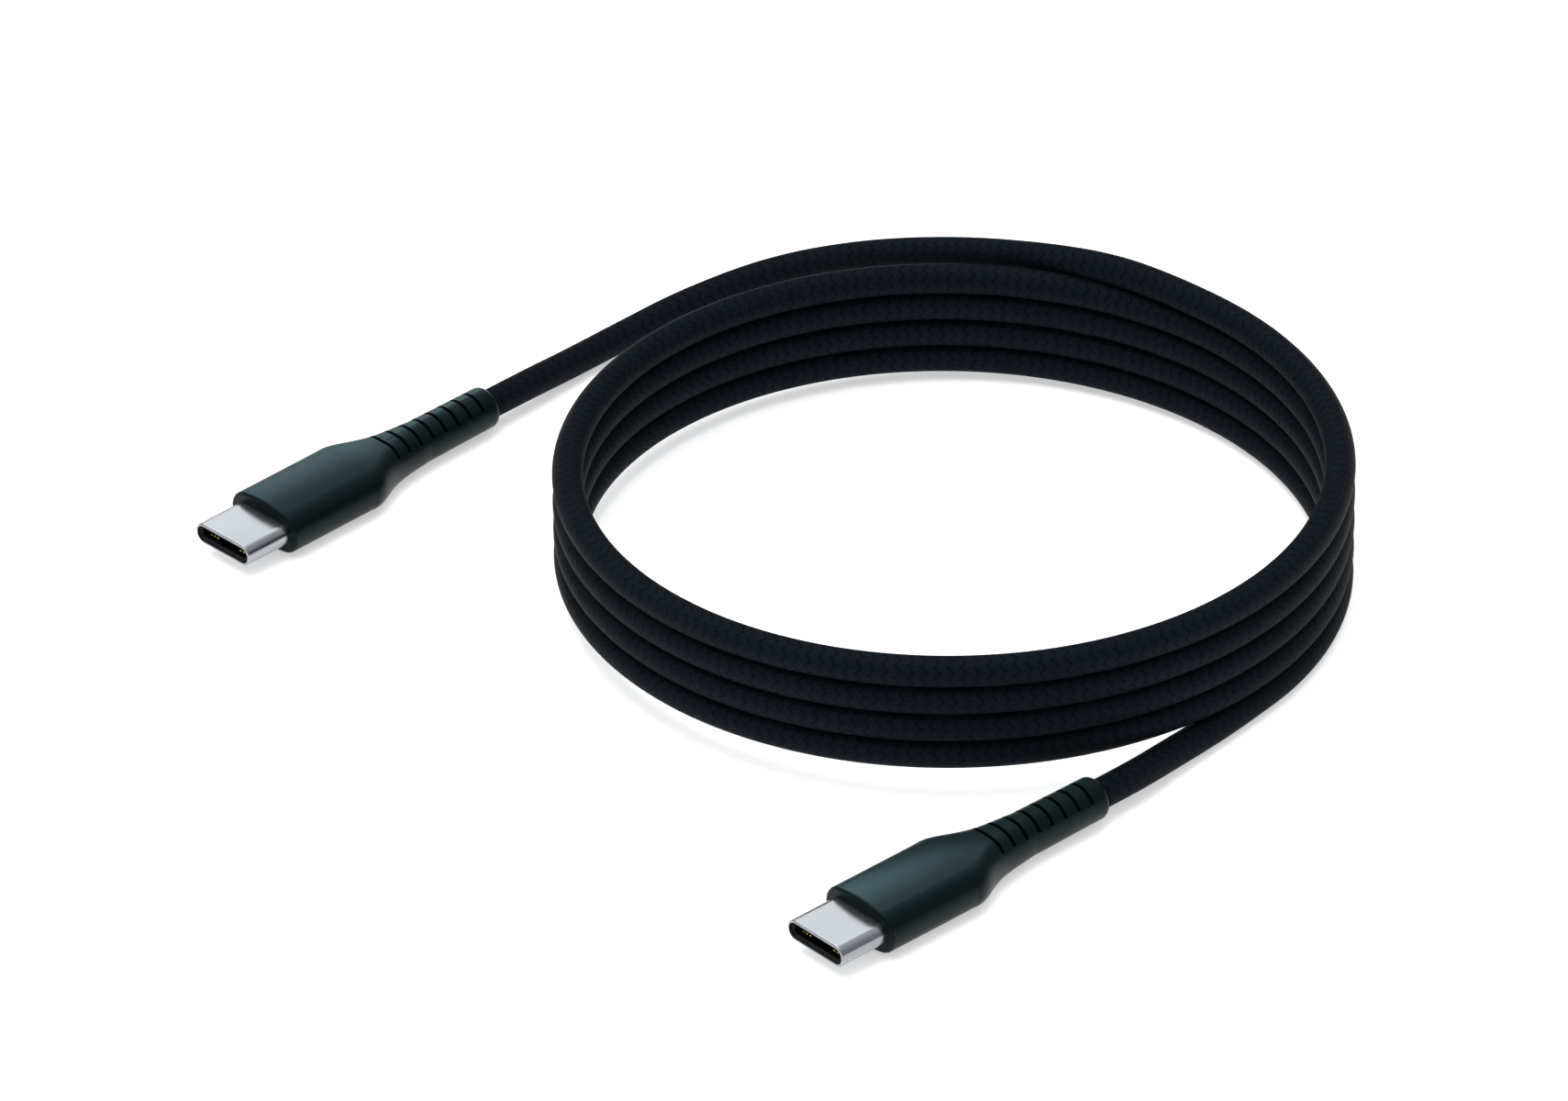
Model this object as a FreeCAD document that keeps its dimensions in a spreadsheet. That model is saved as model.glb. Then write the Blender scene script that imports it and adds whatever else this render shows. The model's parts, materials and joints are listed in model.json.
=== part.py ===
"""USB-C to USB-C charging cable, coiled, lying on a table. Millimetres, +Z up.

The origin is on the table, midway between the two plugs. Each plug is built in its own frame:
its X axis runs from just behind the strain relief to the tip, Y is across and Z = 0 is its axis.
"""
import FreeCAD
import Part
import Sketcher
import math
import os
from FreeCAD import Placement, Rotation, Vector

DOC = FreeCAD.newDocument("charging_cable")

# ---------------------------------------------------------------- driving dimensions

DIMENSIONS = {
    # where the plugs and the coil lie
    "plug_axis_height": 2.65,
    "plug_a_x": -17.94,
    "plug_a_y": 51.82,
    "heading_a": 225.828,
    "plug_b_x": 46.72,
    "plug_b_y": -23.24,
    "heading_b": 222.929,
    "coil_x": 31.6,
    "coil_y": 21.4,
    # cord and coil
    "cord_diameter": 3.25,
    "coil_radius": 40.4,
    "coil_wall": 3.4,
    "coil_height": 16.4,
    "coil_corner": 1.2,
    # overmould: housing, shoulder and strain relief in one moulding
    "housing_width": 10.1,
    "housing_height": 5.3,
    "housing_corner": 2.36,
    "housing_crown": 18.0,
    "housing_start": 21.9,
    "housing_end": 33.6,
    "housing_edge": 0.35,
    "shoulder_start": 11.0,
    "shoulder_size": 4.8,
    "relief_start": 0.85,
    "relief_end": 17.6,
    "relief_neck_radius": 2.5,
    "relief_tail_radius": 2.33,
    "relief_edge": 0.7,
    "slot_first": 3.3,
    "slot_pitch": 1.857,
    "slot_width": 0.42,
    "slot_depth": 0.5,
    "slot_angle": 128.0,
    "under_slot_angle": 56.0,
    # inner mould
    "mould_width": 8.6,
    "mould_height": 4.4,
    "mould_corner": 1.9,
    "mould_start": 21.2,
    "mould_end": 32.6,
    # shell and its insulators
    "shell_width": 8.25,
    "shell_height": 2.4,
    "shell_corner": 1.15,
    "shell_wall": 0.25,
    "shell_start": 29.5,
    "shell_tip": 39.5,
    "shell_lip": 0.08,
    "insulator_start": 31.0,
    "insulator_front": 39.2,
    "insulator_rear": 29.9,
    "cavity_start": 33.6,
    "cavity_width": 6.9,
    "cavity_height": 1.05,
    "cavity_corner": 0.4,
    "window_width": 7.1,
    "window_height": 1.4,
    # contacts
    "contact_pitch": 0.5,
    "contact_width": 0.26,
    "contact_thickness": 0.12,
    "contact_level": 0.525,
    "contact_start": 28.4,
    "contact_reach": 38.55,
    "short_reach": 36.4,
    "bump_radius": 0.16,
    "groove_width": 0.34,
    "groove_top": 0.68,
    # latch plate and ground springs
    "plate_thickness": 0.2,
    "plate_start": 30.2,
    "plate_width": 6.8,
    "arm_width": 0.25,
    "arm_reach": 37.4,
    "spring_thickness": 0.12,
    "spring_width": 6.0,
    "spring_start": 32.4,
    "spring_end": 38.3,
    # paddle card and what is on it
    "card_start": 25.5,
    "card_end": 29.7,
    "card_width": 6.9,
    "card_thickness": 0.9,
    "chip_side": 1.4,
    "chip_height": 0.6,
    "chip_start": 26.8,
    "passive_size": 0.3,
    "pad_length": 0.8,
    # shield covers and crimp
    "cover_start": 22.9,
    "cover_width": 7.6,
    "cover_height": 3.4,
    "cover_corner": 0.6,
    "cover_wall": 0.2,
    "ferrule_diameter": 3.5,
    # cord layers inside the plug
    "jacket_diameter": 2.85,
    "braid_diameter": 2.15,
    "core_diameter": 1.95,
    "power_wire": 0.8,
    "signal_wire": 0.4,
    "filler_strand": 0.3,
    "wire_leaves": 23.8,
    "wire_lands": 24.9,
    "wire_end": 26.6,
}

SHEET = DOC.addObject("Spreadsheet::Sheet", "dims")
for row, (alias, value) in enumerate(DIMENSIONS.items(), start=1):
    SHEET.set(f"A{row}", alias)
    SHEET.set(f"B{row}", str(value))
    SHEET.setAlias(f"B{row}", alias)
DOC.recompute()


def size(alias):
    """The value of one cell of the sheet."""
    return float(SHEET.get(alias))


def cell(text):
    """An expression over sheet aliases, each written as $alias."""
    return text.replace("$", "dims.")


def bind(thing, **formulas):
    """Bind properties to expressions; a double underscore stands for a dot."""
    for name, formula in formulas.items():
        thing.setExpression(name.replace("__", "."), cell(formula))
    return thing


# ---------------------------------------------------------------- building blocks

NODES = []


def node(thing, label, place=None):
    """Register a finished sub-part: its Label names its file."""
    thing.Label = label
    if place is not None:
        thing.Placement = place
    NODES.append(thing)
    return thing


def origin_feature(body, role):
    return next(f for f in body.Origin.OriginFeatures if f.Role == role)


def new_body(name):
    return DOC.addObject("PartDesign::Body", name)


def new_sketch(body, name, role, **offsets):
    sketch = body.newObject("Sketcher::SketchObject", name)
    sketch.AttachmentSupport = (origin_feature(body, role), [""])
    sketch.MapMode = "FlatFace"
    bind(sketch, **{f"AttachmentOffset__Base__{axis}": formula for axis, formula in offsets.items()})
    return sketch


def constrain(sketch, label, formula, *constraint):
    """Add a dimension to a sketch and bind it to an expression."""
    number = sketch.addConstraint(Sketcher.Constraint(*constraint))
    sketch.renameConstraint(number, label)
    sketch.setExpression(f"Constraints.{label}", cell(formula))


def rounded_outline(sketch, section, guess):
    """A closed outline centred on the sketch's origin, with upright sides and round corners.

    The section is (width, height, corner radius), which has a level top and bottom, or
    (width, height, corner radius, crown radius), whose top and bottom are arcs of the crown radius.
    """
    half_w, half_h, r = guess[0] / 2, guess[1] / 2, guess[2]
    crown = guess[3] if len(guess) > 3 else 0
    across, up, lean = half_w - r, half_h - r, 0
    if crown:
        lean = math.asin(across / (crown - r))
        up = half_h - crown + (crown - r) * math.cos(lean)
    quarter = math.pi / 2
    corners = [
        (across, -up, lean - quarter, 0),
        (across, up, 0, quarter - lean),
        (-across, up, quarter + lean, 2 * quarter),
        (-across, -up, 2 * quarter, 3 * quarter - lean),
    ]
    for number, (x, y, turn_from, turn_to) in enumerate(corners):
        last_x, last_y, _, last_turn = corners[number - 1]
        if crown and number in (0, 2):
            side = 1 if number == 2 else -1
            circle = Part.Circle(Vector(0, side * (half_h - crown), 0), Vector(0, 0, 1), crown)
            sketch.addGeometry(Part.ArcOfCircle(circle, side * quarter - lean, side * quarter + lean))
        else:
            start = Vector(last_x + r * math.cos(last_turn), last_y + r * math.sin(last_turn), 0)
            end = Vector(x + r * math.cos(turn_from), y + r * math.sin(turn_from), 0)
            sketch.addGeometry(Part.LineSegment(start, end))
        circle = Part.Circle(Vector(x, y, 0), Vector(0, 0, 1), r)
        sketch.addGeometry(Part.ArcOfCircle(circle, turn_from, turn_to))
    for number in range(8):
        following = (number + 1) % 8
        sketch.addConstraint(Sketcher.Constraint("Tangent", number, 2, following, 1))
    for number in (2, 6):
        sketch.addConstraint(Sketcher.Constraint("Vertical", number))
    for number in (3, 5, 7):
        sketch.addConstraint(Sketcher.Constraint("Equal", 1, number))
    sketch.addConstraint(Sketcher.Constraint("Symmetric", 0, 1, 4, 1, -1, 1))
    width, height, corner = section[:3]
    constrain(sketch, "width", width, "DistanceX", 6, 1, 2, 1, 2 * half_w)
    constrain(sketch, "corner", corner, "Radius", 1, r)
    if crown:
        for number in (0, 4):
            sketch.addConstraint(Sketcher.Constraint("PointOnObject", number, 3, -2))
        sketch.addConstraint(Sketcher.Constraint("Equal", 0, 4))
        constrain(sketch, "crown", section[3], "Radius", 0, crown)
        centres = f"2 * {section[3]} - ({height})"
        constrain(sketch, "centres", centres, "DistanceY", 4, 3, 0, 3, 2 * (crown - half_h))
    else:
        for number in (0, 4):
            sketch.addConstraint(Sketcher.Constraint("Horizontal", number))
        constrain(sketch, "height", height, "DistanceY", 0, 1, 4, 1, 2 * half_h)


def evaluated(*formulas):
    """The present values of expressions over the sheet."""
    return [SHEET.evalExpression(cell(formula)) for formula in formulas]


def outline_on(body, name, section, start):
    """A rounded outline across the plug at X = start."""
    sketch = new_sketch(body, name, "YZ_Plane", z=start)
    rounded_outline(sketch, section, guess=[float(v) for v in evaluated(*section)])
    return sketch


def rounded_prism(name, section, start, end):
    """A bar of rounded rectangular section along the plug's axis."""
    body = new_body(name)
    sketch = outline_on(body, name + "_outline", section, start)
    pad = body.newObject("PartDesign::Pad", name + "_pad")
    pad.Profile = sketch
    bind(pad, Length=f"({end}) - ({start})")
    return body


def box(name, low, high):
    """A box between two corners, each a triple of expressions."""
    block = DOC.addObject("Part::Box", name)
    for side, axis, first, last in zip(("Length", "Width", "Height"), "xyz", low, high):
        block.setExpression(side, cell(f"({last}) - ({first})"))
        block.setExpression(f"Placement.Base.{axis}", cell(first))
    return block


def rod(name, diameter, start, end, y="0", z="0"):
    """A cylinder along the plug's axis."""
    bar = DOC.addObject("Part::Cylinder", name)
    bar.Placement = Placement(Vector(0, 0, 0), Rotation(Vector(0, 1, 0), 90))
    bind(bar, Radius=f"({diameter}) / 2", Height=f"({end}) - ({start})")
    bind(bar, Placement__Base__x=start, Placement__Base__y=y, Placement__Base__z=z)
    return bar


def cut(name, base, *tools):
    """Base less each of the tools; every one of them has to take something away."""
    for number, tool in enumerate(tools):
        result = DOC.addObject("Part::Cut", f"{name}_cut{number}")
        result.Base = base
        result.Tool = tool
        base = result
    return base


def group(name, pieces):
    """Separate solids that share one node."""
    together = DOC.addObject("Part::Compound", name)
    together.Links = pieces
    return together


def fused(name, pieces):
    joined = DOC.addObject("Part::MultiFuse", name)
    joined.Shapes = pieces
    return joined


# ---------------------------------------------------------------- cord and wire routes

ARC_SHARE = 0.45


def rounded_path(points):
    """Straight runs joined by tangent arcs, with the radii of the arcs."""
    edges, radii = [], []
    here = points[0]
    for before, corner, after in zip(points, points[1:], points[2:]):
        back, ahead = before - corner, after - corner
        turn = math.pi - back.getAngle(ahead)
        reach = ARC_SHARE * min(back.Length, ahead.Length)
        radii.append(reach / math.tan(turn / 2))
        back.normalize()
        ahead.normalize()
        inward = back + ahead
        inward.normalize()
        start, end = corner + back * reach, corner + ahead * reach
        depth = radii[-1] / math.cos(turn / 2) - radii[-1]
        middle = corner + inward * depth
        edges.append(Part.LineSegment(here, start).toShape())
        edges.append(Part.Arc(start, middle, end).toShape())
        here = end
    edges.append(Part.LineSegment(here, points[-1]).toShape())
    return Part.Wire(edges), radii


def tube(name, points, diameter):
    """A round solid along a route, and a check of its volume."""
    path, radii = rounded_path([Vector(*p) for p in points])
    ring = Part.Circle(Vector(*points[0]), Vector(*points[1]) - Vector(*points[0]), diameter / 2)
    solid = path.makePipeShell([Part.Wire(ring.toShape())], True, False)
    wanted = math.pi * diameter**2 / 4 * path.Length
    print(f"{name}: {path.Length:.2f} long, least radius {min(radii):.1f},",
          f"volume {solid.Volume:.3f} of {wanted:.3f}")
    assert abs(solid.Volume - wanted) < 0.01 * wanted, name
    feature = DOC.addObject("Part::Feature", name)
    feature.Shape = solid
    return feature


# ---------------------------------------------------------------- one plug

# Rounded sections across the plug, each (width, height, corner) and for the housing its crown.
HOUSING_OUTSIDE = ("$housing_width", "$housing_height", "$housing_corner", "$housing_crown")
MOULD_OUTSIDE = ("$mould_width", "$mould_height", "$mould_corner")
COVER_OUTSIDE = ("$cover_width", "$cover_height", "$cover_corner")
COVER_INSIDE = (
    "$cover_width - 2 * $cover_wall",
    "$cover_height - 2 * $cover_wall",
    "$cover_corner - $cover_wall",
)
SHELL_OUTSIDE = ("$shell_width", "$shell_height", "$shell_corner")
SHELL_INSIDE = (
    "$shell_width - 2 * $shell_wall",
    "$shell_height - 2 * $shell_wall",
    "$shell_corner - $shell_wall",
)

# How far along the shoulder, from the housing to its thin end, and how much of the widening is left.
SHOULDER = ((0.0, 1.0), (0.17, 0.89), (0.355, 0.52), (0.54, 0.26), (0.77, 0.11), (1.0, 0.0))


def overmould(side):
    """Housing, shoulder and slotted strain relief, moulded as one soft piece."""
    body = new_body("moulding" + side)
    base = outline_on(body, "housing_outline" + side, HOUSING_OUTSIDE, "$housing_start")
    pad = body.newObject("PartDesign::Pad", "housing" + side)
    pad.Profile = base
    bind(pad, Length="$housing_end - $housing_start")
    DOC.recompute()
    front = size("housing_end")
    rim = [
        f"Edge{number}"
        for number, edge in enumerate(pad.Shape.Edges, start=1)
        if all(abs(v.X - front) < 1e-4 for v in edge.Vertexes)
    ]
    edge = body.newObject("PartDesign::Fillet", "housing_edge" + side)
    edge.Base = (pad, rim)
    bind(edge, Radius="$housing_edge")

    # the shoulder narrows in a long S from the housing to just inside the relief
    sections = []
    for number, (share, spread) in enumerate(SHOULDER):
        section = (
            f"$shoulder_size + {spread} * ($housing_width - $shoulder_size)",
            f"$shoulder_size + {spread} * ($housing_height - $shoulder_size)",
            f"$shoulder_size / 2 - 0.02 + {spread} * ($housing_corner - $shoulder_size / 2 + 0.02)",
            "$housing_crown",
        )
        start = f"$housing_start - {share} * ($housing_start - $shoulder_start)"
        sections.append(outline_on(body, f"shoulder_outline{number}" + side, section, start))
    shoulder = body.newObject("PartDesign::AdditiveLoft", "shoulder" + side)
    shoulder.Profile = sections[0]
    shoulder.Sections = sections[1:]

    relief_profile(body, side)
    relief_slots(body, side)
    bore = rod("cord_bore" + side, "$cord_diameter", "-1", "$mould_start + 0.1")
    core = rounded_prism("mould_room" + side, MOULD_OUTSIDE, "$mould_start", "$mould_end")
    nose = rounded_prism("shell_room" + side, SHELL_OUTSIDE, "$mould_end - 0.1", "$housing_end + 1")
    return cut("overmould_hollow" + side, body, core, nose, bore)


def relief_profile(body, side):
    """The slightly tapered tail round the cord, with a rounded end."""
    sketch = new_sketch(body, "relief_outline" + side, "XZ_Plane")
    tail, neck = size("relief_tail_radius"), size("relief_neck_radius")
    start, end, edge = size("relief_start"), size("relief_end"), size("relief_edge")
    corners = [Vector(start, 0, 0), Vector(end, 0, 0), Vector(end, neck, 0), Vector(start + edge, tail, 0)]
    for first, second in zip(corners, corners[1:]):
        sketch.addGeometry(Part.LineSegment(first, second))
    curve = Part.Circle(Vector(start + edge, tail - edge, 0), Vector(0, 0, 1), edge)
    sketch.addGeometry(Part.ArcOfCircle(curve, math.pi / 2, math.pi))
    sketch.addGeometry(Part.LineSegment(Vector(start, tail - edge, 0), corners[0]))
    for first, second in ((0, 1), (1, 2), (2, 3), (4, 0)):
        sketch.addConstraint(Sketcher.Constraint("Coincident", first, 2, second, 1))
    sketch.addConstraint(Sketcher.Constraint("Tangent", 3, 2, 4, 1))
    for number, direction in ((0, "Horizontal"), (1, "Vertical"), (4, "Vertical")):
        sketch.addConstraint(Sketcher.Constraint(direction, number))
    sketch.addConstraint(Sketcher.Constraint("PointOnObject", 0, 1, -1))
    constrain(sketch, "start", "$relief_start", "DistanceX", -1, 1, 0, 1, start)
    constrain(sketch, "end", "$relief_end", "DistanceX", -1, 1, 0, 2, end)
    constrain(sketch, "neck", "$relief_neck_radius", "DistanceY", 1, 1, 1, 2, neck)
    constrain(sketch, "bend", "$relief_edge", "Radius", 3, edge)
    constrain(sketch, "inside", "$relief_tail_radius - $relief_edge", "DistanceY", 0, 1, 3, 2, tail - edge)
    constrain(sketch, "edge", "$relief_edge", "DistanceX", 0, 1, 3, 1, edge)
    turned = body.newObject("PartDesign::Revolution", "relief" + side)
    turned.Profile = sketch
    turned.ReferenceAxis = (origin_feature(body, "X_Axis"), [""])
    turned.Angle = 360
    return turned


def relief_slots(body, side):
    """Flexing slots: eight over the top, seven short ones below, half a pitch between them."""
    tail = "($relief_start + $relief_edge)"
    taper = f"(($relief_neck_radius - $relief_tail_radius) / ($relief_end - {tail}))"
    rows = (("top", 8, 0.0, 1, "$slot_angle"), ("under", 7, 0.5, -1, "$under_slot_angle"))
    for row, count, shift, up, angle in rows:
        for number in range(count):
            centre = f"($slot_first + {number + shift} * $slot_pitch)"
            skin = f"($relief_tail_radius + ({centre} - {tail}) * {taper})"
            name = f"{row}_slot{number}{side}"
            sketch = new_sketch(body, name + "_outline", "XZ_Plane")
            middle, floor = [float(v) for v in evaluated(centre, f"{skin} - $slot_depth")]
            half, top = size("slot_width") / 2, size("relief_neck_radius") + 1
            loop = [
                Vector(middle - half, up * floor, 0),
                Vector(middle + half, up * floor, 0),
                Vector(middle + half, up * top, 0),
                Vector(middle - half, up * top, 0),
            ]
            for start, stop in zip(loop, loop[1:] + loop[:1]):
                sketch.addGeometry(Part.LineSegment(start, stop))
            for side_number in range(4):
                following = (side_number + 1) % 4
                sketch.addConstraint(Sketcher.Constraint("Coincident", side_number, 2, following, 1))
            for side_number, direction in enumerate(("Horizontal", "Vertical") * 2):
                sketch.addConstraint(Sketcher.Constraint(direction, side_number))
            edge = f"{centre} - $slot_width / 2"
            constrain(sketch, "place", edge, "DistanceX", -1, 1, 0, 1, middle - half)
            constrain(sketch, "width", "$slot_width", "DistanceX", 0, 1, 0, 2, 2 * half)
            low, high = ((-1, 1), (0, 1)) if up > 0 else ((0, 1), (-1, 1))
            constrain(sketch, "bottom", f"{skin} - $slot_depth", "DistanceY", *low, *high, floor)
            low, high = ((0, 1), (2, 1)) if up > 0 else ((2, 1), (0, 1))
            constrain(sketch, "rise", "$slot_depth + 1", "DistanceY", *low, *high, top - floor)
            groove = body.newObject("PartDesign::Groove", name)
            groove.Profile = sketch
            groove.ReferenceAxis = (origin_feature(body, "X_Axis"), [""])
            groove.Midplane = True
            bind(groove, Angle=angle)


def inner_mould(side):
    """The stiff block that is moulded round the card, its shield and the shell's rear."""
    block = rounded_prism("mould_block" + side, MOULD_OUTSIDE, "$mould_start", "$mould_end")
    crimp = rod("crimp_room" + side, "$ferrule_diameter", "$mould_start - 1", "$cover_start + 0.1")
    can = rounded_prism("cover_room" + side, COVER_OUTSIDE, "$cover_start", "$shell_start")
    nose = rounded_prism("nose_room" + side, SHELL_OUTSIDE, "$shell_start - 0.1", "$mould_end + 1")
    return cut("inner_mould_hollow" + side, block, can, nose, crimp)


def shell(side):
    """The drawn steel shell that enters the socket, its mouth edge slightly rounded."""
    body = new_body("shell_body" + side)
    sketch = outline_on(body, "shell_outline" + side, SHELL_OUTSIDE, "$shell_start")
    pad = body.newObject("PartDesign::Pad", "shell_pad" + side)
    pad.Profile = sketch
    bind(pad, Length="$shell_tip - $shell_start")
    DOC.recompute()
    tip = size("shell_tip")
    rim = [
        f"Edge{number}"
        for number, edge in enumerate(pad.Shape.Edges, start=1)
        if all(abs(v.X - tip) < 1e-4 for v in edge.Vertexes)
    ]
    edge = body.newObject("PartDesign::Fillet", "shell_edge" + side)
    edge.Base = (pad, rim)
    bind(edge, Radius="2 * $shell_lip")
    inside = rounded_prism("shell_inside" + side, SHELL_INSIDE, "$shell_start - 1", "$shell_tip + 1")
    return cut("shell_hollow" + side, body, inside)


CONTACTS = 12


def contact_y(number):
    """Where contact number 0 to 11 lies across the plug."""
    return f"({number - (CONTACTS - 1) / 2} * $contact_pitch)"


def front_insulator(side):
    """The black tongue-shaped holder in the mouth, with a groove for each contact."""
    block = rounded_prism("holder" + side, SHELL_INSIDE, "$insulator_start", "$insulator_front")
    mouth = rounded_prism(
        "mouth" + side,
        ("$cavity_width", "$cavity_height", "$cavity_corner"),
        "$cavity_start",
        "$insulator_front + 1",
    )
    tools = [mouth]
    for level, sign in (("top", ""), ("low", "-")):
        slots = []
        for number in range(CONTACTS):
            middle = contact_y(number)
            near, far = f"{sign}($cavity_height / 2 - 0.1)", f"{sign}$groove_top"
            bottom, top = (near, far) if sign == "" else (far, near)
            slots.append(
                box(
                    f"{level}_groove{number}{side}",
                    ("$insulator_start - 1", f"{middle} - $groove_width / 2", bottom),
                    ("$contact_reach + 0.2", f"{middle} + $groove_width / 2", top),
                )
            )
        tools.append(fused(f"{level}_grooves{side}", slots))
        recess_low = "$shell_height / 2 - $shell_wall - $spring_thickness"
        recess_high = "$shell_height / 2"
        low, high = (recess_low, recess_high) if sign == "" else (f"-({recess_high})", f"-({recess_low})")
        tools.append(
            box(
                f"{level}_recess{side}",
                ("$spring_start - 0.05", "-$spring_width / 2 - 0.05", low),
                ("$spring_end + 0.05", "$spring_width / 2 + 0.05", high),
            )
        )
    tools.append(
        box(
            "plate_slot" + side,
            ("$insulator_start - 1", "-$plate_width / 2 - 0.02", "-$plate_thickness / 2 - 0.01"),
            ("$cavity_start + 0.1", "$plate_width / 2 + 0.02", "$plate_thickness / 2 + 0.01"),
        )
    )
    return cut("front_insulator_hollow" + side, block, *tools)


def rear_insulator(side):
    """A collar that holds the contact tails apart from the shell."""
    collar = rounded_prism("collar" + side, SHELL_INSIDE, "$insulator_rear", "$insulator_start")
    window = box(
        "window" + side,
        ("$insulator_rear - 1", "-$window_width / 2", "-$window_height / 2"),
        ("$insulator_start + 1", "$window_width / 2", "$window_height / 2"),
    )
    return cut("rear_insulator_hollow" + side, collar, window)


def contacts(side, level, sign):
    """Twelve spring contacts; the outer three each side are the long power and ground ones."""
    pieces = []
    for number in range(CONTACTS):
        middle = contact_y(number)
        reach = "$contact_reach" if number < 3 or number >= CONTACTS - 3 else "$short_reach"
        near = f"{sign}$contact_level"
        far = f"{sign}($contact_level + $contact_thickness)"
        bottom, top = (near, far) if sign == "" else (far, near)
        beam = box(
            f"{level}_beam{number}{side}",
            ("$contact_start", f"{middle} - $contact_width / 2", bottom),
            (reach, f"{middle} + $contact_width / 2", top),
        )
        bump = DOC.addObject("Part::Cylinder", f"{level}_bump{number}{side}")
        bump.Placement = Placement(Vector(0, 0, 0), Rotation(Vector(1, 0, 0), -90))
        bind(
            bump,
            Radius="$bump_radius",
            Height="$contact_width",
            Placement__Base__x=f"{reach} - $bump_radius",
            Placement__Base__y=f"{middle} - $contact_width / 2",
            Placement__Base__z=f"{sign}($contact_level - $bump_radius / 4)",
        )
        pieces.append(fused(f"{level}_contact{number}{side}", [beam, bump]))
    return group(f"{level}_contact_row{side}", pieces)


def latch_plate(side):
    """The steel mid plate with an arm along each side of the mouth."""
    plate = box(
        "plate" + side,
        ("$plate_start", "-$plate_width / 2", "-$plate_thickness / 2"),
        ("$cavity_start", "$plate_width / 2", "$plate_thickness / 2"),
    )
    arms = []
    for number, edge in enumerate(("-$plate_width / 2", "$plate_width / 2 - $arm_width")):
        low = ("$cavity_start - 0.5", edge, "-$plate_thickness / 2")
        high = ("$arm_reach", f"{edge} + $arm_width", "$plate_thickness / 2")
        arms.append(box(f"arm{number}{side}", low, high))
    return fused("latch" + side, [plate] + arms)


def ground_spring(side, level, sign):
    """A thin sprung plate between the holder and the shell."""
    low = "$shell_height / 2 - $shell_wall - $spring_thickness"
    high = "$shell_height / 2 - $shell_wall"
    bottom, top = (low, high) if sign == "" else (f"-({high})", f"-({low})")
    sheet = box(
        f"{level}_spring{side}",
        ("$spring_start", "-$spring_width / 2", bottom),
        ("$spring_end", "$spring_width / 2", top),
    )
    window = box(
        f"{level}_spring_window{side}",
        ("$spring_start + 1.2", "-$spring_width / 2 + 0.8", f"{bottom} - 1"),
        ("$spring_end - 1", "$spring_width / 2 - 0.8", f"{top} + 1"),
    )
    return cut(f"{level}_ground_spring{side}_plate", sheet, window)


def paddle_card(side):
    """The small circuit board that the contacts and wires are soldered to."""
    board = box(
        "board" + side,
        ("$card_start", "-$card_width / 2", "-$card_thickness / 2"),
        ("$card_end", "$card_width / 2", "$card_thickness / 2"),
    )
    return group("card" + side, [board])


def emarker_chip(side):
    """The chip that states the cable's current rating, on the card's upper face."""
    package = box(
        "package" + side,
        ("$chip_start", "-$chip_side / 2", "$card_thickness / 2"),
        ("$chip_start + $chip_side", "$chip_side / 2", "$card_thickness / 2 + $chip_height"),
    )
    return group("chip" + side, [package])


def card_components(side):
    """Capacitors and resistors under the card, each a block with its own ends."""
    blocks = []
    bottom, top = "-$card_thickness / 2 - $passive_size", "-$card_thickness / 2"
    for number, offset in enumerate((-1.2, 0.0, 1.2)):
        low = ("$chip_start + 0.3", f"{offset} - $passive_size / 2", bottom)
        high = ("$chip_start + 0.9", f"{offset} + $passive_size / 2", top)
        blocks.append(box(f"passive{number}{side}", low, high))
    return group("passives" + side, blocks)


def solder_joints(side):
    """A bead of solder under every contact tail."""
    beads = []
    for level, sign in (("top", ""), ("low", "-")):
        for number in range(CONTACTS):
            middle = contact_y(number)
            near, far = f"{sign}$card_thickness / 2", f"{sign}$contact_level"
            bottom, top = (near, far) if sign == "" else (far, near)
            beads.append(
                box(
                    f"{level}_solder{number}{side}",
                    ("$contact_start", f"{middle} - $contact_width / 2", bottom),
                    ("$contact_start + $pad_length", f"{middle} + $contact_width / 2", top),
                )
            )
    return group("solder" + side, beads)


def shield_cover(side, level, sign):
    """Half of the tin box round the card, split at mid height, with a hole for the wires."""
    outside = rounded_prism(f"{level}_can{side}", COVER_OUTSIDE, "$cover_start", "$shell_start")
    inside_start = "$cover_start + $cover_wall"
    inside = rounded_prism(f"{level}_can_inside{side}", COVER_INSIDE, inside_start, "$shell_start + 1")
    hole = rod(f"{level}_wire_hole{side}", "$braid_diameter", "$cover_start - 1", "$cover_start + 1")
    bottom, top = ("-$cover_height", "0") if sign == "" else ("0", "$cover_height")
    other_half = box(
        f"{level}_other_half{side}",
        ("$cover_start - 1", "-$cover_width", bottom),
        ("$shell_start + 1", "$cover_width", top),
    )
    return cut(f"{level}_cover{side}", outside, inside, hole, other_half)


def pipe(name, diameters, start, end):
    """A straight round sleeve along the plug's axis."""
    outer, inner = diameters
    bar = rod(name + "_bar", outer, start, end)
    hole = rod(name + "_hole", inner, f"{start} - 1", f"{end} + 1")
    return cut(name, bar, hole)


def wire(name, diameter, start_y, start_z, end_y, end_z):
    """One insulated wire: straight in the cord, then up or down onto the card."""
    start, leave = size("relief_start"), size("wire_leaves")
    land, end = size("wire_lands"), size("wire_end")
    route = [
        (start, start_y, start_z),
        (leave, start_y, start_z),
        (land, end_y, end_z),
        (end, end_y, end_z),
    ]
    return tube(name, route, diameter)


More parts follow.
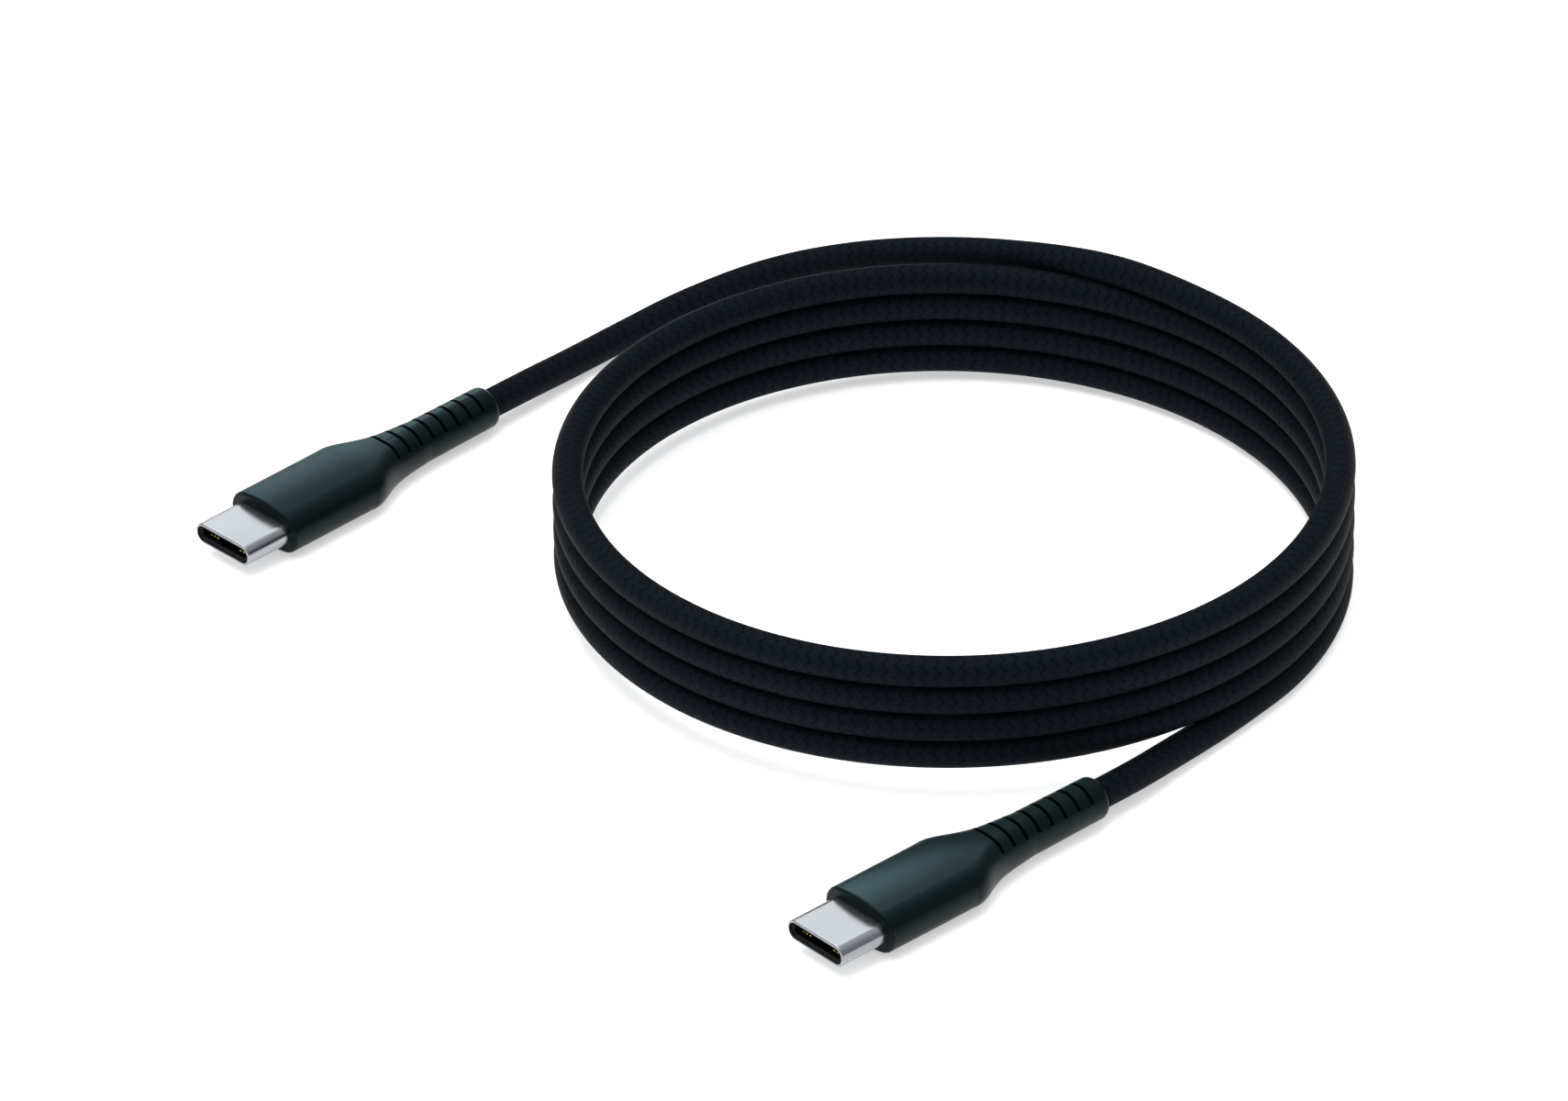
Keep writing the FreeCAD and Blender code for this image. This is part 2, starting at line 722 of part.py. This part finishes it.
def wires(side):
    """The conductors in the cord's core, as they end on the card."""
    power, signal = size("power_wire"), size("signal_wire")
    surface = size("card_thickness") / 2
    over, under = surface + power / 2, -surface - power / 2
    signal_over, signal_under = surface + signal / 2, -surface - signal / 2
    yield "vbus_wire", wire("vbus" + side, power, -0.45, 0, -1.2, over)
    yield "ground_wire", wire("ground" + side, power, 0.45, 0, 1.2, under)
    yield "cc_wire", wire("cc" + side, signal, 0, 0.62, 0.3, signal_over)
    pair = [
        wire("data_plus" + side, signal, -0.22, -0.62, -0.5, signal_under),
        wire("data_minus" + side, signal, 0.22, -0.62, 0.1, signal_under),
    ]
    yield "data_wires", group("data_pair" + side, pair)


def filler(side):
    """Two strength strands beside the signal wire."""
    strands = [
        rod(f"strand{number}{side}", "$filler_strand", "$relief_start", "$cover_start", str(offset), "0.62")
        for number, offset in enumerate((-0.5, 0.5))
    ]
    return group("strands" + side, strands)


def plug(side, place, with_chip):
    """All the pieces of one plug, made along X and then placed."""
    suffix = "_" + side
    made = {
        "overmould": overmould(suffix),
        "inner_mould": inner_mould(suffix),
        "shell": shell(suffix),
        "front_insulator": front_insulator(suffix),
        "rear_insulator": rear_insulator(suffix),
        "upper_contacts": contacts(suffix, "top", ""),
        "lower_contacts": contacts(suffix, "low", "-"),
        "latch_plate": latch_plate(suffix),
        "upper_ground_spring": ground_spring(suffix, "top", ""),
        "lower_ground_spring": ground_spring(suffix, "low", "-"),
        "paddle_card": paddle_card(suffix),
        "card_components": card_components(suffix),
        "solder_joints": solder_joints(suffix),
        "upper_shield_cover": shield_cover(suffix, "top", ""),
        "lower_shield_cover": shield_cover(suffix, "low", "-"),
        "crimp_ferrule": pipe(
            "ferrule" + suffix, ("$ferrule_diameter", "$jacket_diameter"), "$mould_start", "$cover_start"
        ),
        "sleeve_end": pipe(
            "sleeve" + suffix, ("$cord_diameter", "$jacket_diameter"), "$relief_start", "$mould_start"
        ),
        "jacket_end": pipe(
            "jacket" + suffix, ("$jacket_diameter", "$braid_diameter"), "$relief_start", "$cover_start"
        ),
        "shield_braid_end": pipe(
            "braid" + suffix, ("$braid_diameter", "$core_diameter"), "$relief_start", "$cover_start"
        ),
        "filler": filler(suffix),
    }
    if with_chip:
        made["emarker_chip"] = emarker_chip(suffix)
    made.update(wires(suffix))
    for name, thing in made.items():
        node(thing, name + suffix, place)


# ---------------------------------------------------------------- cord

# From the plug to the coil. Plug A's lead comes down off the top turn behind the coil and
# runs along the table; plug B's leaves the bottom turn in front.
LEAD_A = [
    (-18.5323, 51.2103, 2.65),
    (-14.6301, 55.2269, 2.65),
    (-9.9, 61.0, 1.9),
    (-4.4, 67.0, 1.7),
    (2.6, 71.9, 3.0),
    (12.1, 74.0, 5.9),
    (22.1, 72.2, 9.0),
    (32.1, 68.2, 11.8),
    (41.1, 63.6, 13.6),
    (48.4, 59.4, 14.7),
]
LEAD_B = [
    (46.0976, -23.8189, 2.65),
    (49.9783, -20.2091, 2.65),
    (53.4, -15.6, 2.0),
    (57.0, -11.3, 1.7),
    (60.4, -7.4, 1.7),
]


def coil():
    """The neat stack of about four and a quarter turns, as one ring of their outer shape."""
    body = new_body("coil_ring")
    sketch = new_sketch(body, "coil_section", "XZ_Plane", x="$coil_radius", y="$coil_height / 2")
    section = ("$coil_wall", "$coil_height", "$coil_corner")
    rounded_outline(sketch, section, guess=[float(v) for v in evaluated(*section)])
    ring = body.newObject("PartDesign::Revolution", "coil_turns")
    ring.Profile = sketch
    ring.ReferenceAxis = (origin_feature(body, "Z_Axis"), [""])
    ring.Angle = 360
    body.Placement = Placement(Vector(size("coil_x"), size("coil_y"), 0), Rotation())
    return body


def cords():
    """The coil and the two leads, which meet it face to face."""
    ring = coil()
    for side, route in (("a", LEAD_A), ("b", LEAD_B)):
        lead = tube("lead_" + side, route, size("cord_diameter"))
        node(cut("lead_end_" + side, lead, ring), "cord_lead_" + side)
    node(ring, "cord_coil")


# ---------------------------------------------------------------- assembly and export


def place_of(side):
    """A plug's frame: on its axis just behind the strain relief, level, turned to its heading."""
    base = Vector(size(f"plug_{side}_x"), size(f"plug_{side}_y"), size("plug_axis_height"))
    return Placement(base, Rotation(Vector(0, 0, 1), size("heading_" + side)))


def export():
    """Check every object and write each sub-part to its own file."""
    DOC.recompute()
    for thing in DOC.Objects:
        assert not {"Invalid", "Error"} & set(thing.State), (thing.Name, thing.State)
        if thing.TypeId == "Part::Cut":
            assert thing.Shape.Volume < thing.Base.Shape.Volume - 1e-4, thing.Name + " cuts nothing"
    os.makedirs("parts", exist_ok=True)
    for thing in NODES:
        shape = thing.Shape
        assert not shape.isNull() and shape.isValid() and shape.Solids, thing.Label
        print(f"{thing.Label}: {len(shape.Solids)} solid, {shape.Volume:.3f} mm3, {shape.BoundBox}")
        shape.exportStep(f"parts/{thing.Label}.step")
    print(len(NODES), "nodes")


plug("a", place_of("a"), with_chip=True)
plug("b", place_of("b"), with_chip=False)
cords()
export()
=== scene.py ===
"""A braided charging cable with a plug at each end, wound in a round coil on a pale table."""

import json
import math

import bpy
from mathutils import Euler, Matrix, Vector


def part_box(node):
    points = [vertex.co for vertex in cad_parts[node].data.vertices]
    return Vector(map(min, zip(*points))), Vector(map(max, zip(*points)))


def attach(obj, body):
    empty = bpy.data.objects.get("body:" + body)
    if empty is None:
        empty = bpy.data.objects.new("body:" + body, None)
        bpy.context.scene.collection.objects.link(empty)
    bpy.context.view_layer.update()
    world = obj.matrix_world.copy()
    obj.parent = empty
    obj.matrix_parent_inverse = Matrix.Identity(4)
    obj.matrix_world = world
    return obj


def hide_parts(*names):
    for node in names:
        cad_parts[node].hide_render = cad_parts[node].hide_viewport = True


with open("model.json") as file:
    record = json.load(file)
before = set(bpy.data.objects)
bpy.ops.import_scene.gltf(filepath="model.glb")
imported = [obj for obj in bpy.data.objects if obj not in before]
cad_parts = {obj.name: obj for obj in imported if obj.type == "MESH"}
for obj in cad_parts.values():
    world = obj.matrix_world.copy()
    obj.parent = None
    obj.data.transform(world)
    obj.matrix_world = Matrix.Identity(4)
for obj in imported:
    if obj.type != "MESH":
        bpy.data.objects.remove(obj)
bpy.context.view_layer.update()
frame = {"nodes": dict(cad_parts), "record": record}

MM = 0.001
SCENE = bpy.context.scene

# ---------------------------------------------------------------- sizes

CORD_DIAMETER = 3.25 * MM
CORD_RADIUS = CORD_DIAMETER / 2

# Where each plug's cord leaves it, and which way the plug points from there.
PLUG_HEADING = {"a": math.radians(225.828), "b": math.radians(222.929)}

# The uncoiled stretches, from each plug to the coil, in millimetres.
LEAD_A = [
    (-18.5323, 51.2103, 2.65),
    (-14.6301, 55.2269, 2.65),
    (-9.9, 61.0, 1.9),
    (-4.4, 67.0, 1.7),
    (2.6, 71.9, 3.0),
    (12.1, 74.0, 5.9),
    (22.1, 72.2, 9.0),
    (32.1, 68.2, 11.8),
    (41.1, 63.6, 13.8),
    (48.5, 59.5, 14.9),
]
LEAD_B = [
    (46.0976, -23.8189, 2.65),
    (49.9783, -20.2091, 2.65),
    (53.4, -15.6, 2.0),
    (57.0, -11.3, 1.7),
    (60.4, -7.4, 1.7),
]

# The coil's turns lie on each other. Each lies flat for a short way, then climbs one pitch.
COIL_RADIUS = 40.4 * MM
PITCH = 3.28 * MM
TURNS = 4
JOINS = math.radians(-45)
TOP_PASS = math.radians(100)
CLIMB_FROM, CLIMB_TO = math.radians(45), math.radians(350)
STEP = math.radians(15)


# ---------------------------------------------------------------- camera


def add_camera(coil_centre):
    """A long lens looking down over the coil's front, panned a little left to take in both plugs."""
    distance, elevation = 1155.6 * MM, math.radians(32.85)
    view_width = 165.1 * MM
    beside, above = 17.85 * MM, 2.75 * MM
    data = bpy.data.cameras.new("camera")
    data.lens = data.sensor_width * distance / view_width
    data.clip_start, data.clip_end = 0.05, 20
    camera = bpy.data.objects.new("camera", data)
    SCENE.collection.objects.link(camera)
    back = Vector((0, -math.cos(elevation), math.sin(elevation)))
    camera.location = coil_centre + back * distance
    level = Euler((math.pi / 2 - elevation, 0, 0)).to_quaternion()
    turn = Euler((math.atan2(above, distance), math.atan2(beside, distance), 0)).to_quaternion()
    camera.rotation_mode = "QUATERNION"
    camera.rotation_quaternion = level @ turn
    SCENE.camera = camera


# ---------------------------------------------------------------- cord


def coil_points(centre, radius):
    """Control points of the turns, from where lead B joins up to where lead A takes over."""
    sweep = TURNS * math.tau + TOP_PASS
    count = round(sweep / STEP)
    step = sweep / count
    reach = radius / math.cos(step / 2)
    points = []
    for number in range(1, count + 1):
        turn, part = divmod(number * step, math.tau)
        share = min(max((part - CLIMB_FROM) / (CLIMB_TO - CLIMB_FROM), 0), 1)
        height = CORD_RADIUS + PITCH * (turn + share * share * (3 - 2 * share))
        angle = JOINS + part
        points.append(centre + Vector((reach * math.cos(angle), reach * math.sin(angle), height)))
    return points


def spline_points(route):
    """Points along the smooth NURBS line that has the route as its control points."""
    data = bpy.data.curves.new("route", "CURVE")
    data.dimensions = "3D"
    data.resolution_u = 12
    spline = data.splines.new("NURBS")
    spline.points.add(len(route) - 1)
    for control, place in zip(spline.points, route):
        control.co = (*place, 1)
    spline.order_u = 3
    spline.use_endpoint_u = True
    line = bpy.data.objects.new("route", data)
    SCENE.collection.objects.link(line)
    mesh = bpy.data.meshes.new_from_object(line)
    points = [vertex.co.copy() for vertex in mesh.vertices]
    bpy.data.objects.remove(line)
    bpy.data.curves.remove(data)
    bpy.data.meshes.remove(mesh)
    return points


def ring_frames(points):
    """Two unit vectors across the line at each point, carried along it without twist."""
    frames = []
    side = None
    for number, point in enumerate(points):
        before = points[max(number - 1, 0)]
        after = points[min(number + 1, len(points) - 1)]
        along = (after - before).normalized()
        if side is None:
            side = along.orthogonal().normalized()
        side = (side - along * side.dot(along)).normalized()
        frames.append((side, along.cross(side)))
    return frames


AROUND = 40
BRAID_ROWS = 16
BRICK_LENGTH = 1.30 * MM


def braided_tube(name, points):
    """A round tube along the points, with its braid's own coordinates as its UV map."""
    vertices, faces, coordinates = [], [], []
    travelled = 0.0
    lengths = []
    for number, (point, (side, up)) in enumerate(zip(points, ring_frames(points))):
        if number:
            travelled += (point - points[number - 1]).length
        lengths.append(travelled)
        for spoke in range(AROUND):
            angle = math.tau * spoke / AROUND
            vertices.append(point + (side * math.cos(angle) + up * math.sin(angle)) * CORD_RADIUS)
    for ring in range(len(points) - 1):
        for spoke in range(AROUND):
            following = (spoke + 1) % AROUND
            low, high = ring * AROUND, (ring + 1) * AROUND
            faces.append((low + spoke, low + following, high + following, high + spoke))
            left, right = BRAID_ROWS * spoke / AROUND, BRAID_ROWS * (spoke + 1) / AROUND
            near, far = lengths[ring] / BRICK_LENGTH, lengths[ring + 1] / BRICK_LENGTH
            coordinates += [(left, near), (right, near), (right, far), (left, far)]
    last = (len(points) - 1) * AROUND
    for cap in (range(AROUND - 1, -1, -1), range(last, last + AROUND)):
        faces.append(tuple(cap))
        coordinates += [(0, 0)] * AROUND
    mesh = bpy.data.meshes.new(name)
    mesh.from_pydata(vertices, [], faces)
    layer = mesh.uv_layers.new(name="braid")
    layer.data.foreach_set("uv", [value for pair in coordinates for value in pair])
    mesh.polygons.foreach_set("use_smooth", [len(face) == 4 for face in faces])
    cord = bpy.data.objects.new(name, mesh)
    SCENE.collection.objects.link(cord)
    return cord, travelled


# ---------------------------------------------------------------- materials


class Finish:
    """A material being built: a shader, with constant values on its sockets and nodes for the rest."""

    def __init__(self, name, **constants):
        self.material = bpy.data.materials.new(name)
        self.material.use_nodes = True
        self.tree = self.material.node_tree
        self.shader = self.tree.nodes["Principled BSDF"]
        for socket, value in constants.items():
            self.shader.inputs[socket.replace("_", " ")].default_value = value

    def node(self, kind, inputs=None, **settings):
        """A node with its settings, and its inputs joined or set by name or place."""
        made = self.tree.nodes.new(kind)
        for key, value in settings.items():
            setattr(made, key, value)
        for key, value in (inputs or {}).items():
            if isinstance(value, bpy.types.NodeSocket):
                self.tree.links.new(value, made.inputs[key])
            else:
                made.inputs[key].default_value = value
        return made

    def math(self, operation, *values):
        """The result of one sum on sockets and numbers."""
        return self.node("ShaderNodeMath", dict(enumerate(values)), operation=operation).outputs[0]

    def between(self, share, low, high):
        """A number that goes from low to high as share goes from 0 to 1."""
        inputs = {"Value": share, "To Min": low, "To Max": high}
        return self.node("ShaderNodeMapRange", inputs).outputs[0]

    def blend(self, share, first, second):
        """A colour between two, either of which may be a socket."""
        made = self.node("ShaderNodeMix", {0: share}, data_type="RGBA")
        for place, colour in ((6, first), (7, second)):
            if isinstance(colour, bpy.types.NodeSocket):
                self.tree.links.new(colour, made.inputs[place])
            else:
                made.inputs[place].default_value = (*colour, 1)
        return made.outputs[2]

    def noise(self, place, scale, detail=2.0, roughness=0.5):
        """Smooth noise between 0 and 1 at a place."""
        inputs = {"Vector": place, "Scale": scale, "Detail": detail, "Roughness": roughness}
        return self.node("ShaderNodeTexNoise", inputs).outputs[0]

    def place(self, stretch=(1, 1, 1), turn=0.0):
        """The place on the object in millimetres, turned about the vertical and stretched."""
        source = self.node("ShaderNodeTexCoord").outputs["Object"]
        inputs = {"Vector": source, "Rotation": (0, 0, -turn)}
        turned = self.node("ShaderNodeMapping", inputs).outputs[0]
        scale = tuple(value / MM for value in stretch)
        return self.node("ShaderNodeMapping", {"Vector": turned, "Scale": scale}).outputs[0]

    def colour(self, source):
        self.tree.links.new(source, self.shader.inputs["Base Color"])

    def rough(self, source):
        self.tree.links.new(source, self.shader.inputs["Roughness"])

    def bump(self, height, depth):
        """Relief whose height of 1 stands a depth in metres."""
        made = self.node("ShaderNodeBump", {"Height": height, "Distance": depth, "Strength": 1.0})
        self.tree.links.new(made.outputs[0], self.shader.inputs["Normal"])


def scaled(colour, factor):
    return tuple(value * factor for value in colour)


def moulded_plastic(name, colour, roughness, grain=0.004, turn=0.0, **constants):
    """Plastic or rubber with a finely spark-eroded skin and faint clouding, the same at any turn."""
    finish = Finish(name, **constants)
    clouds = finish.noise(finish.place(), 0.35, 3)
    fine = finish.noise(finish.place(), 9, 3, 0.6)
    finish.colour(finish.blend(clouds, scaled(colour, 0.85), scaled(colour, 1.15)))
    finish.rough(finish.between(fine, roughness - 0.05, roughness + 0.05))
    finish.bump(fine, grain * MM)
    return finish.material


def drawn_metal(name, colour, roughness, streaks=0.05, turn=0.0, **constants):
    """Metal with fine lengthwise lines from rolling, and level bands of painted reflection along its
    sides, darker and lighter by height.
    """
    finish = Finish(name, Metallic=1.0, **constants)
    lines = finish.noise(finish.place((0.12, 7, 7), turn), 1.0, 4, 0.6)
    # Painted reflection: noise that changes with height darkens and lightens the colour in level bands on
    # the sides, like mirrored dark surroundings. A flat top gets one even shift.
    reflection_bands = finish.noise(finish.place((0.03, 0.05, 4), turn), 1.0, 2)
    painted_reflection = finish.between(reflection_bands, 1 - 2 * streaks, 1 + streaks)
    shade = finish.node("ShaderNodeVectorMath", {0: colour, "Scale": painted_reflection}, operation="SCALE").outputs[0]
    finish.colour(shade)
    finish.rough(finish.between(lines, roughness - 0.06, roughness + 0.06))
    finish.bump(lines, 0.0012 * MM)
    return finish.material


def braid(name, colour):
    """Nylon braid: rows of flat yarns along the cord, which lean left and right by turns.

    The UV map counts the rows round the cord and the yarns along it, so that the lines between
    yarns zigzag round the cord.
    """
    finish = Finish(name, Specular_IOR_Level=0.03)
    sums = finish.math
    rows, yarns, _ = finish.node(
        "ShaderNodeSeparateXYZ", {0: finish.node("ShaderNodeUVMap", uv_map="braid").outputs[0]}
    ).outputs
    lean = sums("ABSOLUTE", sums("SUBTRACT", sums("FLOORED_MODULO", rows, 2.0), 1.0))
    zigzag = sums("MULTIPLY_ADD", lean, 0.46, yarns)
    from_line = sums("ABSOLUTE", sums("MULTIPLY_ADD", sums("FRACT", zigzag), 2.0, -1.0))
    leans_left = sums("FLOORED_MODULO", sums("FLOOR", rows), 2.0)
    every_other = sums("FLOORED_MODULO", sums("ROUND", zigzag), 2.0)
    shallow = sums("MULTIPLY", sums("MULTIPLY", every_other, leans_left), 0.4)
    line = sums("MULTIPLY", sums("POWER", from_line, 6.0), sums("SUBTRACT", 1.0, shallow))
    from_crease = sums("ABSOLUTE", sums("MULTIPLY_ADD", sums("FRACT", rows), 2.0, -1.0))
    crease = sums("MULTIPLY", sums("POWER", from_crease, 6.0), 0.25)
    relief_and_gap_shade = sums("MULTIPLY", sums("SUBTRACT", 1.0, line), sums("SUBTRACT", 1.0, crease))
    fibre_place = finish.node(
        "ShaderNodeCombineXYZ", {0: sums("MULTIPLY", zigzag, 14.0), 1: sums("MULTIPLY", rows, 0.8)}
    ).outputs[0]
    fibres = finish.noise(fibre_place, 1.0, 3, 0.6)
    shade = sums("MULTIPLY", relief_and_gap_shade, finish.between(fibres, 0.75, 1.25))
    # Painted shade: in the lines between yarns and at the creases between rows, the colour falls to 0.12
    # of the yarn colour, as if those gaps lay in shadow.
    finish.colour(finish.blend(shade, scaled(colour, 0.12), colour))
    finish.rough(finish.between(fibres, 0.5, 0.68))
    finish.bump(sums("MULTIPLY_ADD", fibres, 0.12, relief_and_gap_shade), 0.045 * MM)
    return finish.material


# Each material slot's builder, with its own settings.
FINISHES = {
    "overmould": (
        moulded_plastic,
        {"roughness": 0.36, "Specular_IOR_Level": 0.12, "Specular_Tint": (0.6, 0.9, 0.95, 1)},
    ),
    "inner_mould": (moulded_plastic, {"roughness": 0.5}),
    "shell_steel": (drawn_metal, {"roughness": 0.24, "streaks": 0.3}),
    "insulator": (moulded_plastic, {"roughness": 0.55, "Specular_IOR_Level": 0.15}),
    "contact_gold": (drawn_metal, {"roughness": 0.22}),
    "spring_steel": (drawn_metal, {"roughness": 0.3}),
    "circuit_board": (moulded_plastic, {"roughness": 0.35, "grain": 0.01}),
    "component_ceramic": (moulded_plastic, {"roughness": 0.3}),
    "chip_package": (moulded_plastic, {"roughness": 0.55, "grain": 0.01}),
    "solder": (drawn_metal, {"roughness": 0.18}),
    "tinplate": (drawn_metal, {"roughness": 0.3}),
    "crimp_aluminium": (drawn_metal, {"roughness": 0.34}),
    "nylon_braid": (moulded_plastic, {"roughness": 0.6, "grain": 0.03}),
    "inner_jacket": (moulded_plastic, {"roughness": 0.55}),
    "shield_wire": (drawn_metal, {"roughness": 0.35}),
    "strength_yarn": (moulded_plastic, {"roughness": 0.7, "grain": 0.03}),
    "red_insulation": (moulded_plastic, {"roughness": 0.4}),
    "black_insulation": (moulded_plastic, {"roughness": 0.4}),
    "blue_insulation": (moulded_plastic, {"roughness": 0.4}),
    "white_insulation": (moulded_plastic, {"roughness": 0.4}),
}
# The record's colours, except four darker ones that are fitted to this light.
COLOURS = {row["slot"]: tuple(row["base_color"]) for row in frame["record"]["materials"]}
COLOURS["overmould"] = (0.0015, 0.0045, 0.0055)
COLOURS["nylon_braid"] = (0.0054, 0.0090, 0.0136)
COLOURS["shell_steel"] = (0.34, 0.36, 0.38)
COLOURS["insulator"] = (0.004, 0.004, 0.005)


def finish_cad_nodes():
    """Gives every CAD node the finish of its slot, with the lines of its metal along its own plug."""
    made = {}
    for row in frame["record"]["subparts"]:
        name, slot = row["node"], row["material_slot"]
        side = name[-1] if name[-1] in PLUG_HEADING else "a"
        if (slot, side) not in made:
            builder, settings = FINISHES[slot]
            turn = PLUG_HEADING[side]
            made[slot, side] = builder(f"{slot}_{side}", COLOURS[slot], turn=turn, **settings)
        node = frame["nodes"][name]
        node.data.materials.clear()
        node.data.materials.append(made[slot, side])


# ---------------------------------------------------------------- stage

BACKDROP_TOP = 0.1  # sine of the elevation at which the backdrop has faded out
SHEEN_COLOUR = (0.54, 0.93, 1.0)


def add_floor():
    """A plain white table under the cable."""
    bpy.ops.mesh.primitive_plane_add(size=12)
    floor = bpy.context.object
    floor.name = "floor"
    finish = Finish("floor", Roughness=0.7, Specular_IOR_Level=0.1)
    finish.colour(finish.blend(finish.noise(finish.place(), 0.01), (0.93, 0.93, 0.93), (0.95, 0.95, 0.95)))
    floor.data.materials.append(finish.material)
    return floor


def add_softbox(name, target, azimuth, elevation, distance, size, power, colour=(1, 1, 1), only=()):
    """A rectangular lamp that faces the target, for all pieces or for only some of them.

    Azimuth 0 is towards the front, -Y, and 90 is to the right, +X.
    """
    data = bpy.data.lights.new(name, "AREA")
    data.shape = "RECTANGLE"
    data.size, data.size_y = size
    data.energy = power
    data.color = colour
    lamp = bpy.data.objects.new(name, data)
    SCENE.collection.objects.link(lamp)
    turn, lift = math.radians(azimuth), math.radians(elevation)
    away = Vector((math.sin(turn) * math.cos(lift), -math.cos(turn) * math.cos(lift), math.sin(lift)))
    lamp.location = target + away * distance
    lamp.rotation_mode = "QUATERNION"
    lamp.rotation_quaternion = away.to_track_quat("Z", "Y")
    if only:
        lit = bpy.data.collections.new(name)
        for piece in only:
            lit.objects.link(piece)
        lamp.light_linking.receiver_collection = lit
        data.use_shadow = False


def light_world(horizon, zenith, backdrop):
    """Even studio light, brighter overhead, with a low pale backdrop where the far floor ends."""
    world = bpy.data.worlds.new("studio")
    world.use_nodes = True
    background = world.node_tree.nodes["Background"]
    background.inputs["Color"].default_value = (0.93, 0.97, 1.0, 1)
    nodes, links = world.node_tree.nodes, world.node_tree.links
    direction = nodes.new("ShaderNodeTexCoord").outputs["Generated"]
    parts = nodes.new("ShaderNodeSeparateXYZ")
    links.new(direction, parts.inputs[0])
    height = nodes.new("ShaderNodeMapRange")
    height.inputs["To Min"].default_value, height.inputs["To Max"].default_value = horizon, zenith
    links.new(parts.outputs["Z"], height.inputs["Value"])
    band = nodes.new("ShaderNodeMapRange")
    band.inputs["From Max"].default_value = BACKDROP_TOP
    band.inputs["To Min"].default_value, band.inputs["To Max"].default_value = backdrop, 0
    links.new(parts.outputs["Z"], band.inputs["Value"])
    both = nodes.new("ShaderNodeMath")
    links.new(height.outputs[0], both.inputs[0])
    links.new(band.outputs[0], both.inputs[1])
    links.new(both.outputs[0], background.inputs["Strength"])
    SCENE.world = world


# ---------------------------------------------------------------- building

low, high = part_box("cord_coil")
coil_centre = Vector(((low.x + high.x) / 2, (low.y + high.y) / 2, 0))
add_camera(coil_centre)

route = [Vector(point) * MM for point in LEAD_A]
route += reversed(coil_points(coil_centre, COIL_RADIUS))
route += [Vector(point) * MM for point in reversed(LEAD_B)]
line = spline_points(route)
cord, cord_length = braided_tube("braided_cord", line)
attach(cord, "root")
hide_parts("cord_lead_a", "cord_coil", "cord_lead_b")
cord.data.materials.append(braid("braid", COLOURS["nylon_braid"]))

finish_cad_nodes()
floor = add_floor()
middle = Vector((0.014, 0.0265, 0))
mouldings = [frame["nodes"]["overmould_a"], frame["nodes"]["overmould_b"]]
shells = [frame["nodes"]["shell_a"], frame["nodes"]["shell_b"]]
add_softbox("overhead", middle, 240, 75, 1.5, (1.6, 1.6), 16)
add_softbox("floor_wash", middle, 0, 90, 1.5, (1.6, 1.6), 22, only=[floor])
for moulding, lift, power in zip(mouldings, (22, 29), (26, 44)):
    name = f"sheen_{moulding.name}"
    add_softbox(name, middle, 182, lift, 3.0, (2.1, 0.75), power, SHEEN_COLOUR, [moulding])
add_softbox("shell_card", middle, 180, 33, 1.0, (1.2, 0.7), 4, only=shells)
light_world(0.10, 0.85, 0.48)
SCENE.view_settings.view_transform = "Standard"

print("cord length", round(cord_length, 4), "points", len(line))
